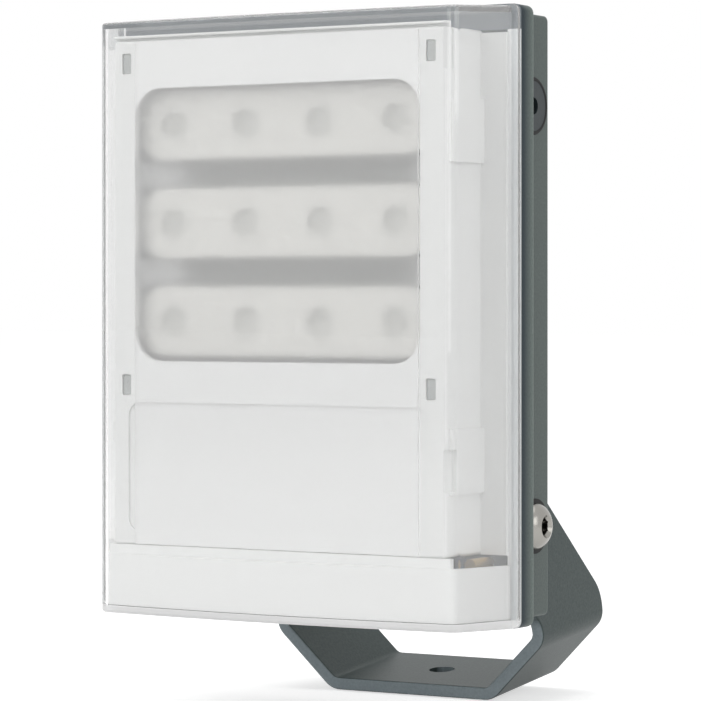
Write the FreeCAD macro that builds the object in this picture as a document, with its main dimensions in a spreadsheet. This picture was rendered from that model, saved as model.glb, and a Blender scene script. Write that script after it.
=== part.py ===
import FreeCAD, Part
import math
import os

from FreeCAD import Placement, Rotation, Vector

# A white light illuminator: a flat lamp head with a clear bowed front cover, carried between
# the arms of a U bracket. Millimetres, +Z up, the lamp faces -Y. The origin is the centre of
# the bracket's base hole, on the underside of the base.

document = FreeCAD.newDocument("illuminator")
sheet = document.addObject("Spreadsheet::Sheet", "Sizes")

# Driving dimensions: alias, value, meaning. The lamp's own pieces are drawn about the centre
# of the frame's front face, the bracket about the pivot axis.
SIZES = [
    ("frame_width", 180, "outer width of the front frame"),
    ("frame_height", 230, "outer height of the frame and the rear housing"),
    ("frame_depth", 11.7, "front to back of the frame"),
    ("frame_corner", 3, "corner radius of the frame"),
    ("frame_edge", 2.2, "rounding of the frame's back edge"),
    ("opening_margin", 4.8, "housing's side past the opening in the frame"),
    ("opening_border", 12, "frame above and below its opening"),
    ("cover_seal_width", 3.4, "width of the seal under the cover"),
    ("housing_seal_width", 1.6, "width of the seal on the housing"),
    ("seal_depth", 1.5, "depth of both seals"),
    ("housing_step", 17.2, "frame's side past the housing's cheek"),
    ("housing_depth", 43.6, "depth of the cheeks"),
    ("plate_thick", 4, "back plate of the housing"),
    ("cheek_thick", 5, "side cheek of the housing"),
    ("fin_thick", 2.2, "cooling fin"),
    ("fin_pitch", 8, "least spacing of the fins"),
    ("fin_clearance", 3.4, "outermost fin to the pivot nut"),
    ("fin_step", 5.3, "tips of the fins in front of the back of the cheeks"),
    ("cover_wall", 2.5, "wall of the clear cover"),
    ("cover_rim", 2.1, "flange of the cover past its wall"),
    ("cover_lean", 9.5, "how far each side of the cover leans in"),
    ("cover_depth", 28.8, "front corners of the cover in front of the frame"),
    ("cover_bow", 4.7, "how far the middle of the front bows out past its corners"),
    ("cover_flange", 2, "thickness of the flange round the cover"),
    ("cover_round", 5.5, "rounding of the cover's upright corners"),
    ("cover_top_inset", 0.7, "top of the cover below the top of the frame"),
    ("cover_top_fall", 1.6, "fall of the cover's top wall from frame to front"),
    ("cover_bottom_rise", 0.5, "rise of the cover's bottom wall from frame to front"),
    ("fit_gap", 0.3, "clearance between a fitted piece and its seat"),
    ("bezel_margin", 16.8, "frame's side past the side of the bezel"),
    ("bezel_top_gap", 9.5, "top of the frame above the bezel"),
    ("bezel_gap", 0.5, "front of the bezel to the inside of the cover's corners"),
    ("bezel_wall", 2, "wall of the bezel and of the bottom trim"),
    ("bezel_flange", 10.6, "reach of the bezel's side flanges"),
    ("flange_thick", 1.5, "thickness of the bezel's side flanges"),
    ("boss_length", 24, "length of the raised pads on the bezel's sides"),
    ("boss_rise", 1.6, "height of those pads"),
    ("boss_setback", 2, "pads behind the front of the bezel"),
    ("upper_boss", 68.3, "centre of the upper pads above the lamp's centre"),
    ("lower_boss", 53, "centre of the lower pads below the lamp's centre"),
    ("notch_depth", 0.8, "depth of the notches in the bezel's front corners"),
    ("notch_width", 5.6, "width of those notches"),
    ("notch_length", 15.5, "length of those notches"),
    ("lower_notch", 56.2, "centre of the lower notches below the lamp's centre"),
    ("window_width", 125.2, "light window in the bezel"),
    ("window_top", 87, "top of the window above the lamp's centre"),
    ("window_bottom", 17.5, "bottom of the window below the lamp's centre"),
    ("window_corner", 11, "corner radius of the window"),
    ("slot_width", 4.2, "clip slot"),
    ("slot_height", 8, "clip slot"),
    ("slot_depth", 1.2, "clip slot"),
    ("slot_inset", 6.1, "clip slots from the side of the bezel"),
    ("upper_slot", 8.7, "upper clip slots below the top of the bezel"),
    ("lower_slot", 9.1, "lower clip slots below the window"),
    ("recess_margin", 7, "side of the bezel past the recess below the window"),
    ("recess_step", 15.8, "recess below the window"),
    ("recess_foot", 5.1, "recess above the foot of the bezel"),
    ("recess_corner", 5.5, "corner radius of the recess"),
    ("recess_depth", 0.7, "depth of the recess"),
    ("sheet_gap", 2.7, "front lens sheet to the clip slots"),
    ("sheet_margin", 0.5, "bezel above and below the lens sheet"),
    ("sheet_thick", 1.2, "thickness of the lens sheet"),
    ("optic_margin", 5.8, "lens strips to the inside of the bezel"),
    ("row_pitch", 37.6, "spacing of the rows"),
    ("row_middle", 35.4, "middle row above the lamp's centre"),
    ("optic_height", 26.4, "height of a lens strip"),
    ("optic_setback", 5.8, "lens strips behind the front of the bezel"),
    ("optic_face", 2.6, "thickness of the face of a lens strip"),
    ("optic_gap", 0.2, "lens strips to the light-emitting packages"),
    ("dimple_radius", 4.9, "dimple at the centre of each lens"),
    ("dimple_depth", 1.2, "dimple at the centre of each lens"),
    ("board_front", 8, "front of the light boards in front of the frame"),
    ("board_thick", 1.6, "thickness of a circuit board"),
    ("led_side", 3.6, "side of a light-emitting package"),
    ("led_height", 1, "height of a light-emitting package"),
    ("spreader_gap", 1.5, "heat spreader block to the side of the opening"),
    ("spreader_height", 108, "heat spreader block"),
    ("driver_margin", 13, "driver board to the side of the opening"),
    ("driver_height", 52, "driver board"),
    ("driver_rise", 5, "driver board above the foot of the bezel"),
    ("driver_front", 3, "front of the driver board in front of the frame"),
    ("pillar_radius", 3, "pillar under the driver board"),
    ("pillar_inset", 5, "pillars from the edges of the driver board"),
    ("choke_radius", 10, "choke on the driver board"),
    ("choke_bore", 3.5, "choke on the driver board"),
    ("choke_height", 10, "choke on the driver board"),
    ("can_radius", 5, "capacitor on the driver board"),
    ("can_height", 15, "capacitor on the driver board"),
    ("terminal_length", 26, "terminal block"),
    ("terminal_width", 11, "terminal block"),
    ("terminal_height", 12, "terminal block"),
    ("terminal_bore", 2, "wire entries of the terminal block"),
    ("trim_height", 19.8, "height of the bottom trim"),
    ("trim_foot", 3.5, "bottom of the frame below the bottom trim"),
    ("trim_gap", 3.7, "bottom trim below the foot of the bezel"),
    ("trim_margin", 15, "frame's side past the shelf of the bottom trim"),
    ("post_radius", 2.3, "brass post beside the bezel"),
    ("post_length", 14, "length of a brass post"),
    ("gland_height", 70, "cable gland below the lamp's centre"),
    ("gland_thread", 16, "thread of the cable gland"),
    ("gland_bore", 7, "bore of the cable gland's seal"),
    ("gland_hex", 22, "gland's body, across its flats"),
    ("gland_collar", 5, "thickness of the gland's hexagon"),
    ("gland_dome", 19, "top of the gland's dome nut above the plate"),
    ("gland_room", 8, "clear space round the gland between the fins"),
    ("locknut_size", 20, "gland's locknut, across its flats"),
    ("locknut_height", 4, "gland's locknut"),
    ("pivot_inset", 13.3, "pivot axis in front of the back of the cheeks"),
    ("pivot_rise", 34.8, "pivot axis above the foot of the housing"),
    ("plug_drop", 35.1, "blanking plugs below the top of the housing"),
    ("plug_rise", 0.6, "face of a blanking plug past the cheek"),
    ("bolt_diameter", 10, "pivot bolt"),
    ("bolt_length", 28, "pivot bolt under its head"),
    ("head_diameter", 17.5, "head of the pivot bolt"),
    ("head_height", 4.9, "head of the pivot bolt"),
    ("socket_size", 6, "hexagon socket of the pivot bolt"),
    ("socket_depth", 3, "hexagon socket of the pivot bolt"),
    ("washer_diameter", 21, "sealing washer under the bolt head"),
    ("washer_thick", 1.3, "sealing washer under the bolt head"),
    ("nut_size", 16, "nut of the pivot bolt, across its flats"),
    ("nut_height", 8.4, "nut of the pivot bolt"),
    ("play", 0.3, "side play between the arm and its neighbours"),
    ("spacer_length", 6, "spacer between the cheek and the arm"),
    ("bracket_thick", 5, "plate of the bracket"),
    ("bend_run", 21.3, "width of the slanted part of the bracket, inside"),
    ("bend_rise", 21.2, "height of the slanted part of the bracket, inside"),
    ("bracket_drop", 75.4, "underside of the base below the pivot axis"),
    ("base_depth", 52.8, "front to back of the base"),
    ("base_reach", 25.5, "front edge of the base behind the pivot axis"),
    ("arm_round", 20.2, "half width of the arms"),
    ("arm_offset", 6.8, "middle line of the arm from the pivot axis"),
    ("arm_corner", 19, "rounding of the arm's back corner"),
    ("arm_neck", 10, "rounding of the arm's front corner"),
    ("bend_radius", 4, "inside radius of the bends"),
    ("bracket_edge", 0.8, "rounding of the bracket's cut edges"),
    ("swing", 6, "bracket's swing from the lamp's back plane, in degrees"),
    ("base_hole", 10.5, "mounting hole in the base"),
    ("running_gap", 0.05, "radial clearance between the pivot bolt and the arm"),
    ("screw_diameter", 4, "screws through the frame"),
]
# What follows from them, as formulas on the same sheet.
FOLLOWS = [
    ("housing_width", "frame_width - 2 * housing_step", "across the outer faces of the cheeks"),
    ("housing_back", "frame_depth + housing_depth", "back of the cheeks"),
    ("fin_back", "housing_back - fin_step", "tips of the fins"),
    ("opening_width", "housing_width - 2 * opening_margin", "opening in the frame"),
    ("opening_height", "frame_height - 2 * opening_border", "opening in the frame"),
    ("cover_foot", "frame_width - 2 * cover_rim", "width of the cover where it meets its flange"),
    ("cover_corner", "cover_foot - 2 * cover_lean", "width of the cover between its front corners"),
    ("bezel_width", "frame_width - 2 * bezel_margin", "width of the bezel"),
    ("bezel_front", "cover_depth - cover_wall - bezel_gap", "front face of the bezel"),
    ("bezel_top", "frame_height / 2 - bezel_top_gap", "top of the bezel above the lamp's centre"),
    ("trim_bottom", "frame_height / 2 - trim_foot", "bottom of the trim below the lamp's centre"),
    ("trim_top", "trim_bottom - trim_height", "top of the trim below the lamp's centre"),
    ("bezel_bottom", "trim_top - trim_gap", "foot of the bezel below the lamp's centre"),
    ("slot_reach", "bezel_width / 2 - slot_inset", "clip slots from the middle"),
    ("sheet_width", "2 * (slot_reach - sheet_gap) - slot_width", "front lens sheet"),
    ("optic_length", "bezel_width - 2 * (bezel_wall + optic_margin)", "length of a lens strip"),
    ("optic_front", "bezel_front - optic_setback", "front of the lens strips"),
    ("optic_back", "board_front + led_height + optic_gap", "back of the lens strips"),
    ("spreader_width", "opening_width - 2 * spreader_gap", "heat spreader block"),
    ("spreader_depth", "frame_depth + board_front - board_thick", "heat spreader block"),
    ("driver_width", "opening_width - 2 * driver_margin", "driver board"),
    ("driver_centre", "bezel_bottom - driver_rise - driver_height / 2", "driver board below the middle"),
    ("pivot_back", "housing_back - pivot_inset", "pivot axis behind the frame's front face"),
    ("pivot_drop", "frame_height / 2 - pivot_rise", "pivot axis below the lamp's centre"),
    ("bracket_inside", "housing_width - 2 * (cheek_thick + spacer_length + play + bracket_thick)",
     "gap between the arms of the bracket"),
    ("bracket_base", "bracket_inside - 2 * bend_run", "length of the flat base between its bends"),
]
ROWS = SIZES + [(alias, "=" + formula, meaning) for alias, formula, meaning in FOLLOWS]
for row, (alias, value, meaning) in enumerate(ROWS, start=1):
    sheet.set(f"A{row}", alias)
    sheet.set(f"B{row}", str(value))
    sheet.set(f"C{row}", meaning)
    sheet.setAlias(f"B{row}", alias)
document.recompute()


def size(alias):
    """The value of one driving dimension."""
    return float(sheet.get(alias))


HALF_WIDTH = size("frame_width") / 2
HALF_HEIGHT = size("frame_height") / 2
SWING = math.radians(size("swing"))
BASE_MIDDLE = size("base_reach") + size("base_depth") / 2
# The pivot axis as seen from the base hole, and the lamp's centre as seen from the pivot.
PIVOT_Y = -BASE_MIDDLE * math.cos(SWING) - size("bracket_drop") * math.sin(SWING)
PIVOT_Z = -BASE_MIDDLE * math.sin(SWING) + size("bracket_drop") * math.cos(SWING)
LAMP = Placement(Vector(0, PIVOT_Y - size("pivot_back"), PIVOT_Z + size("pivot_drop")), Rotation())
BRACKET = Placement(Vector(0, PIVOT_Y, PIVOT_Z), Rotation(Vector(1, 0, 0), size("swing")))
FACING_RIGHT = Rotation(Vector(0, 1, 0), 90)
FACING_LEFT = Rotation(Vector(0, 1, 0), -90)
FACING_FRONT = Rotation(Vector(1, 0, 0), 90)
FACING_BACK = Rotation(Vector(1, 0, 0), -90)

# Each sub-part in the order it is made: the object whose shape is written out.
nodes = []


def body(label, placement=LAMP):
    """An empty PartDesign body for one sub-part."""
    thing = document.addObject("PartDesign::Body", label)
    thing.Label = label
    thing.Placement = placement
    nodes.append(thing)
    return thing


def feature(label, shape, placement=LAMP):
    """One sub-part whose shape is worked out with Part's own functions."""
    thing = document.addObject("Part::Feature", label)
    thing.Label = label
    thing.Shape = shape
    thing.Placement = placement
    nodes.append(thing)
    return thing


def at(x, y, z, rotation=Rotation()):
    """A place in the lamp's own coordinates."""
    return LAMP * Placement(Vector(x, y, z), rotation)


def outline(points, radii=0):
    """A closed outline of lines, with each corner rounded by its radius."""
    corners = [Vector(u, v, 0) for u, v in points]
    count = len(corners)
    if not isinstance(radii, (list, tuple)):
        radii = [radii] * count
    starts, middles, ends = [], [], []
    for index, corner in enumerate(corners):
        before = (corners[index - 1] - corner).normalize()
        after = (corners[(index + 1) % count] - corner).normalize()
        half = before.getAngle(after) / 2
        radius = radii[index]
        reach = radius / math.tan(half)
        inward = (before + after).normalize() if radius else Vector()
        starts.append(corner + before * reach)
        middles.append(corner + inward * (radius / math.sin(half) - radius))
        ends.append(corner + after * reach)
    curves = []
    for index in range(count):
        if radii[index]:
            curves.append(Part.Arc(starts[index], middles[index], ends[index]))
        following = starts[(index + 1) % count]
        if ends[index].distanceToPoint(following) > 1e-6:
            curves.append(Part.LineSegment(ends[index], following))
    return curves


def rectangle(left, right, low, high, radius=0):
    """A rectangle with rounded corners."""
    return outline([(left, low), (right, low), (right, high), (left, high)], radius)


def circle(u, v, radius):
    """A full circle."""
    return [Part.Circle(Vector(u, v, 0), Vector(0, 0, 1), radius)]


def ring(half_width, half_height, radius, thickness):
    """Two nested rounded rectangles that bound a seal or its groove."""
    inner_width = half_width - thickness
    inner_height = half_height - thickness
    outer = rectangle(-half_width, half_width, -half_height, half_height, radius + thickness)
    inner = rectangle(-inner_width, inner_width, -inner_height, inner_height, radius)
    return outer + inner


def sketch(owner, role, curves, offset):
    """A sketch on one of the body's own origin planes, moved along that plane's normal."""
    plane = next(item for item in owner.Origin.OriginFeatures if item.Role == role)
    drawing = owner.newObject("Sketcher::SketchObject", owner.Name + "_sketch")
    drawing.AttachmentSupport = (plane, [""])
    drawing.MapMode = "FlatFace"
    drawing.AttachmentOffset = Placement(Vector(0, 0, offset), Rotation())
    drawing.addGeometry(curves)
    return drawing


def pad(owner, role, curves, low, length):
    """A pad from low along the plane's normal. The length is an expression."""
    made = owner.newObject("PartDesign::Pad", owner.Name + "_pad")
    made.Profile = sketch(owner, role, curves, low)
    made.setExpression("Length", length)
    document.recompute()
    return made


def cut(owner, role, curves, start, length, along_normal=False):
    """A pocket from start, against the plane's normal or along it. It has to take material away."""
    before = owner.Shape.Volume
    made = owner.newObject("PartDesign::Pocket", owner.Name + "_pocket")
    made.Profile = sketch(owner, role, curves, start)
    made.Reversed = along_normal
    made.setExpression("Length", length)
    document.recompute()
    if not owner.Shape.Volume < before - 1e-3:
        raise ValueError(f"a pocket in {owner.Label} cuts nothing")
    return made


def round_edges(owner, radius, chosen):
    """A fillet on the edges for which chosen(edge) is true. The radius is an expression."""
    base = owner.Tip
    names = [f"Edge{index}" for index, edge in enumerate(base.Shape.Edges, start=1) if chosen(edge)]
    if not names:
        raise ValueError(f"no edge to round in {owner.Label}")
    made = owner.newObject("PartDesign::Fillet", owner.Name + "_fillet")
    made.Base = (base, names)
    made.setExpression("Radius", radius)
    document.recompute()
    return made


def along(edge, axis):
    """True for a straight edge that runs along the axis."""
    if edge.Curve.TypeId != "Part::GeomLine":
        return False
    return abs(abs(edge.tangentAt(edge.FirstParameter).dot(axis)) - 1) < 1e-6


def turned(profile):
    """A solid of revolution about Z from (radius, height) points."""
    wire = Part.makePolygon([Vector(radius, 0, height) for radius, height in profile + profile[:1]])
    return Part.Face(wire).revolve(Vector(), Vector(0, 0, 1), 360)


def hexagon(across_flats, height):
    """An upright hexagonal prism about Z, standing on the origin."""
    corner = across_flats / math.sqrt(3)
    points = [Vector(corner * math.cos(math.radians(turn)), corner * math.sin(math.radians(turn)), 0)
              for turn in range(0, 420, 60)]
    return Part.Face(Part.makePolygon(points)).extrude(Vector(0, 0, height))


def prism(curves, low, high):
    """An extrusion of one closed outline of curves from z low to z high."""
    wire = Part.Wire(Part.__sortEdges__([curve.toShape() for curve in curves]))
    face = Part.Face(wire)
    face.translate(Vector(0, 0, low))
    return face.extrude(Vector(0, 0, high - low))


# Front frame: a cast ring with a groove for a seal on each side.
def front_frame():
    frame = body("front_frame")
    width, height = HALF_WIDTH, HALF_HEIGHT
    outer = rectangle(-width, width, -height, height, size("frame_corner"))
    pad(frame, "XZ_Plane", outer, -size("frame_depth"), "Sizes.frame_depth")
    back = size("frame_depth")
    round_edges(frame, "Sizes.frame_edge", lambda edge: edge.BoundBox.YMin > back - 0.01)
    half_width = size("opening_width") / 2
    half_height = size("opening_height") / 2
    opening = rectangle(-half_width, half_width, -half_height, half_height, size("frame_corner"))
    cut(frame, "XZ_Plane", opening, 0, "Sizes.frame_depth")
    cut(frame, "XZ_Plane", cover_seal_ring(), 0, "Sizes.seal_depth")
    cut(frame, "XZ_Plane", housing_seal_ring(), -size("frame_depth"), "Sizes.seal_depth", True)
    for x, z in screw_places():
        cut(frame, "XZ_Plane", circle(x, z, size("screw_diameter") / 2 + 0.25), 0, "Sizes.frame_depth")


def cover_seal_ring():
    """The seal under the flange of the clear cover."""
    inset = size("cover_rim") / 2
    return ring(HALF_WIDTH - inset, HALF_HEIGHT - inset, size("frame_corner") / 2, size("cover_seal_width"))


def housing_seal_ring():
    """The seal between the frame and the housing's plate."""
    width = size("housing_seal_width")
    half_width = size("housing_width") / 2 - width
    return ring(half_width, HALF_HEIGHT - 3 * width, size("frame_corner") / 2, width)


def screw_places():
    """Screws up the two sides of the frame, outside the housing."""
    across = (HALF_WIDTH + size("housing_width") / 2) / 2
    heights = (HALF_HEIGHT * 0.82, size("upper_boss") / 2, -size("lower_boss") / 2, -HALF_HEIGHT * 0.72)
    return [(side * across, z) for side in (-1, 1) for z in heights]


# Seals: flat cords that fill their grooves.
def seals():
    cover_seal = body("cover_seal")
    pad(cover_seal, "XZ_Plane", cover_seal_ring(), -size("seal_depth"), "Sizes.seal_depth")
    housing_seal = body("housing_seal")
    pad(housing_seal, "XZ_Plane", housing_seal_ring(), -size("frame_depth"), "Sizes.seal_depth")


# Rear housing: an upright aluminium extrusion with two cheeks and a comb of cooling fins.
def rear_housing():
    housing = body("rear_housing")
    half = size("housing_width") / 2
    front = size("frame_depth")
    floor = front + size("plate_thick")
    back = size("housing_back")
    inner = half - size("cheek_thick")
    points = [(half, front), (half, back), (inner, back), (inner, floor)]
    nut_face = size("bracket_inside") / 2 - size("play") - size("nut_height")
    reach = nut_face - size("fin_clearance") - size("fin_thick") / 2
    fins = int(reach / size("fin_pitch"))
    for index in range(fins, -fins - 1, -1):
        centre = index * reach / fins
        right, left = centre + size("fin_thick") / 2, centre - size("fin_thick") / 2
        points += [(right, floor), (right, size("fin_back")), (left, size("fin_back")), (left, floor)]
    points += [(-inner, floor), (-inner, back), (-half, back), (-half, front)]
    pad(housing, "XY_Plane", outline(points), -HALF_HEIGHT, "Sizes.frame_height")
    across = Vector(1, 0, 0)
    round_edges(housing, "2.4", lambda edge: along(edge, across) and edge.BoundBox.YMin > back - 0.01)
    upright = Vector(0, 0, 1)
    round_edges(housing, "1.2", lambda edge: along(edge, upright) and edge.BoundBox.YMin > back - 0.01)
    room = size("gland_hex") / math.sqrt(3) + size("gland_room")
    centre = -size("gland_height")
    pocket = rectangle(-room, room, centre - room, centre + room, 3)
    cut(housing, "XZ_Plane", pocket, -floor, "Sizes.fin_back")
    hole = circle(0, centre, size("gland_thread") / 2 + 0.1)
    cut(housing, "XZ_Plane", hole, -front, "Sizes.plate_thick")
    for side in (-1, 1):
        start = half if side > 0 else -inner
        for z in (-size("pivot_drop"), HALF_HEIGHT - size("plug_drop")):
            bore = circle(size("pivot_back"), z, size("bolt_diameter") / 2 + 0.25)
            cut(housing, "YZ_Plane", bore, start, "Sizes.cheek_thick")


# Clear cover: a moulded shell with a bowed front, leaning sides and a thin flange.
def cover_plan(inset):
    """Half width at the foot, front corner and front middle of the plan, moved in by inset."""
    foot = size("cover_foot") / 2
    corner = size("cover_corner") / 2
    depth = size("cover_depth")
    bow = size("cover_bow")
    lean = (foot - corner) / depth
    foot_in = foot - inset * math.hypot(1, lean)
    radius = (corner ** 2 + bow ** 2) / (2 * bow)
    centre = radius - depth - bow
    # The side x = foot_in + lean * y meets the circle of the front about (0, centre).
    a = 1 + lean ** 2
    b = 2 * (foot_in * lean - centre)
    c = foot_in ** 2 + centre ** 2 - (radius - inset) ** 2
    y = (-b - math.sqrt(b ** 2 - 4 * a * c)) / (2 * a)
    return foot_in, Vector(foot_in + lean * y, y, 0), Vector(0, centre - radius + inset, 0)


def plan_curves(inset):
    """The closed plan outline of the cover, moved in by inset."""
    foot, corner, front = cover_plan(inset)
    mirror = Vector(-corner.x, corner.y, 0)
    right, left = Vector(foot, 0, 0), Vector(-foot, 0, 0)
    return [Part.LineSegment(right, corner), Part.Arc(corner, front, mirror),
            Part.LineSegment(mirror, left), Part.LineSegment(left, right)]


def cover_block(inset, corner_radius):
    """The solid that the cover bounds, with each wall moved in by inset."""
    foot, corner, front = cover_plan(inset)
    block = prism(plan_curves(inset), -HALF_HEIGHT, HALF_HEIGHT)
    uprights = [edge for edge in block.Edges
                if along(edge, Vector(0, 0, 1)) and edge.BoundBox.YMax < corner.y + 0.01]
    block = block.makeFillet(corner_radius, uprights)
    reach = size("cover_depth") + size("cover_bow")
    top = HALF_HEIGHT - size("cover_top_inset") - inset
    bottom = -HALF_HEIGHT + inset
    sides = Part.Face(Part.makePolygon([
        Vector(-HALF_WIDTH, 0, bottom), Vector(-HALF_WIDTH, -reach, bottom + size("cover_bottom_rise")),
        Vector(-HALF_WIDTH, -reach, top - size("cover_top_fall")), Vector(-HALF_WIDTH, 0, top),
        Vector(-HALF_WIDTH, 0, bottom)]))
    return block.common(sides.extrude(Vector(2 * HALF_WIDTH, 0, 0)))


def clear_cover():
    outer = cover_block(0, size("cover_round"))
    rims = [edge for edge in outer.Edges
            if abs(edge.tangentAt(edge.FirstParameter).z) < 0.2 and edge.BoundBox.YMax < -1]
    outer = outer.makeFillet(size("cover_wall") * 0.5, rims)
    gap = size("fit_gap") / 2
    flange = prism(rectangle(-HALF_WIDTH + gap, HALF_WIDTH - gap, -HALF_HEIGHT + gap, HALF_HEIGHT - gap,
                             size("frame_corner")), 0, size("cover_flange"))
    flange.rotate(Vector(), Vector(1, 0, 0), 90)
    inner = cover_block(size("cover_wall"), size("cover_round") - size("cover_wall"))
    feature("clear_cover", outer.fuse(flange).cut(inner).removeSplitter())


# White bezel: a moulded box with the light window, four clip slots and a shallow recess.
def inner_bezel():
    bezel = body("inner_bezel")
    half = size("bezel_width") / 2
    top, bottom, front = size("bezel_top"), -size("bezel_bottom"), size("bezel_front")
    wall = size("bezel_wall")
    pad(bezel, "XZ_Plane", rectangle(-half, half, bottom, top, 1.5), 0, "Sizes.bezel_front")
    round_edges(bezel, "Sizes.bezel_wall * 0.6", lambda edge: edge.BoundBox.YMax < -front + 0.01)
    inside = rectangle(-half + wall, half - wall, bottom + wall, top - wall, 1)
    cut(bezel, "XZ_Plane", inside, 0, "Sizes.bezel_front - Sizes.bezel_wall", True)
    window = rectangle(-size("window_width") / 2, size("window_width") / 2,
                       -size("window_bottom"), size("window_top"), size("window_corner"))
    cut(bezel, "XZ_Plane", window, front, "Sizes.bezel_wall")
    for side in (-1, 1):
        for z in (top - size("upper_slot"), -size("window_bottom") - size("lower_slot")):
            centre = side * size("slot_reach")
            slot = rectangle(centre - size("slot_width") / 2, centre + size("slot_width") / 2,
                             z - size("slot_height") / 2, z + size("slot_height") / 2, 0.8)
            cut(bezel, "XZ_Plane", slot, front, "Sizes.slot_depth")
        edge = side * (half - 0.1)
        reach = side * (half + size("bezel_flange"))
        left, right = min(edge, reach), max(edge, reach)
        pad(bezel, "XZ_Plane", rectangle(left, right, bottom, top - 1), 0, "Sizes.flange_thick")
        rise = side * (half + size("boss_rise"))
        left, right = min(edge, rise), max(edge, rise)
        for z in (size("upper_boss"), -size("lower_boss")):
            low, high = z - size("boss_length") / 2, z + size("boss_length") / 2
            pad(bezel, "XZ_Plane", rectangle(left, right, low, high), 0,
                "Sizes.bezel_front - Sizes.boss_setback")
        corner = side * (half - size("notch_depth"))
        left, right = min(corner, rise), max(corner, rise)
        length = size("notch_length")
        for z in (top - length / 2, -size("lower_notch")):
            notch = rectangle(left, right, z - length / 2, z + length / 2)
            cut(bezel, "XZ_Plane", notch, front, "Sizes.notch_width")
    reach = half - size("recess_margin")
    recess = rectangle(-reach, reach, bottom + size("recess_foot"),
                       -size("window_bottom") - size("recess_step"), size("recess_corner"))
    cut(bezel, "XZ_Plane", recess, front, "Sizes.recess_depth")


# Lens sheet: a thin sheet clipped over the front of the bezel.
def lens_sheet():
    lens = body("lens_sheet")
    half = size("sheet_width") / 2
    margin = size("sheet_margin")
    shape = rectangle(-half, half, margin - size("bezel_bottom"), size("bezel_top") - margin, 1)
    pad(lens, "XZ_Plane", shape, size("bezel_front"), "Sizes.sheet_thick")


# Light rows: a strip of collimating lenses over a board with its light-emitting packages.
def lens_centres():
    return [(index - 1.5) * size("optic_length") / 4 for index in range(4)]


def light_row(name, z):
    half, height = size("optic_length") / 2, size("optic_height") / 2
    front, back = -size("optic_front"), -size("optic_back")
    face = prism(rectangle(-half, half, -height, height, height - 1), 0, size("optic_face"))
    face.rotate(Vector(), Vector(1, 0, 0), 90)
    face.translate(Vector(0, front + size("optic_face"), 0))
    lens_height = back - front - size("optic_face")
    strip = face
    for x in lens_centres():
        base = Vector(x, front + size("optic_face"), 0)
        cone = Part.makeCone(height - 1.5, size("dimple_radius"), lens_height, base, Vector(0, 1, 0))
        strip = strip.fuse(cone)
    for x in lens_centres():
        dimple = Part.makeCylinder(size("dimple_radius"), size("dimple_depth"), Vector(x, front, 0),
                                   Vector(0, 1, 0))
        strip = strip.cut(dimple)
    feature("lens_strip_" + name, strip, at(0, 0, z))
    board = body("light_board_" + name, at(0, 0, z))
    pad(board, "XZ_Plane", rectangle(-half, half, -height + 1, height - 1, 2),
        size("board_front") - size("board_thick"), "Sizes.board_thick")
    side = size("led_side")
    packages = [Part.makeBox(side, size("led_height"), side,
                             Vector(x - side / 2, -size("board_front") - size("led_height"), -side / 2))
                for x in lens_centres()]
    feature("led_packages_" + name, Part.makeCompound(packages), at(0, 0, z))


# Heat spreader: a block that carries the light boards on the housing's plate.
def heat_spreader():
    spreader = body("heat_spreader")
    half = size("spreader_width") / 2
    low = size("row_middle") - size("spreader_height") / 2
    high = size("row_middle") + size("spreader_height") / 2
    pad(spreader, "XZ_Plane", rectangle(-half, half, low, high, 2), -size("frame_depth"),
        "Sizes.spreader_depth")


# Driver: a board on four pillars in the lower half, with its main components.
def driver():
    centre = -size("driver_centre")
    half, height = size("driver_width") / 2, size("driver_height") / 2
    front = -size("driver_front")
    back = front + size("board_thick")
    board = body("driver_board")
    pad(board, "XZ_Plane", rectangle(-half, half, centre - height, centre + height, 2), -back,
        "Sizes.board_thick")
    inset = size("pillar_inset")
    pillars = [Part.makeCylinder(size("pillar_radius"), size("frame_depth") - back,
                                 Vector(x * (half - inset), back, centre + z * (height - inset)),
                                 Vector(0, 1, 0))
               for x in (-1, 1) for z in (-1, 1)]
    feature("driver_pillars", Part.makeCompound(pillars))
    wide, bore, tall = size("choke_radius"), size("choke_bore"), size("choke_height")
    choke = turned([(bore, 0), (wide - 1, 0), (wide, 1), (wide, tall - 1), (wide - 1, tall), (bore, tall)])
    feature("driver_choke", choke, at(-half / 2, front, centre, FACING_FRONT))
    wide, tall = size("can_radius"), size("can_height")
    cans = [turned([(0, 0), (wide, 0), (wide, tall - 1), (wide - 0.6, tall), (0, tall)]) for index in range(2)]
    for index, can in enumerate(cans):
        can.rotate(Vector(), Vector(1, 0, 0), 90)
        can.translate(Vector((index - 0.5) * (2 * wide + 3), front, centre + height / 3))
    feature("driver_capacitors", Part.makeCompound(cans))
    long, wide, tall = size("terminal_length"), size("terminal_width"), size("terminal_height")
    left = half - size("pillar_inset") - long
    block = Part.makeBox(long, tall, wide, Vector(left, front - tall, centre - wide / 2))
    for index in range(3):
        entry = Vector(left + long * (index + 0.5) / 3, front - tall, centre)
        block = block.cut(Part.makeCylinder(size("terminal_bore"), tall / 2, entry, Vector(0, 1, 0)))
    feature("terminal_block", block)


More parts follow.
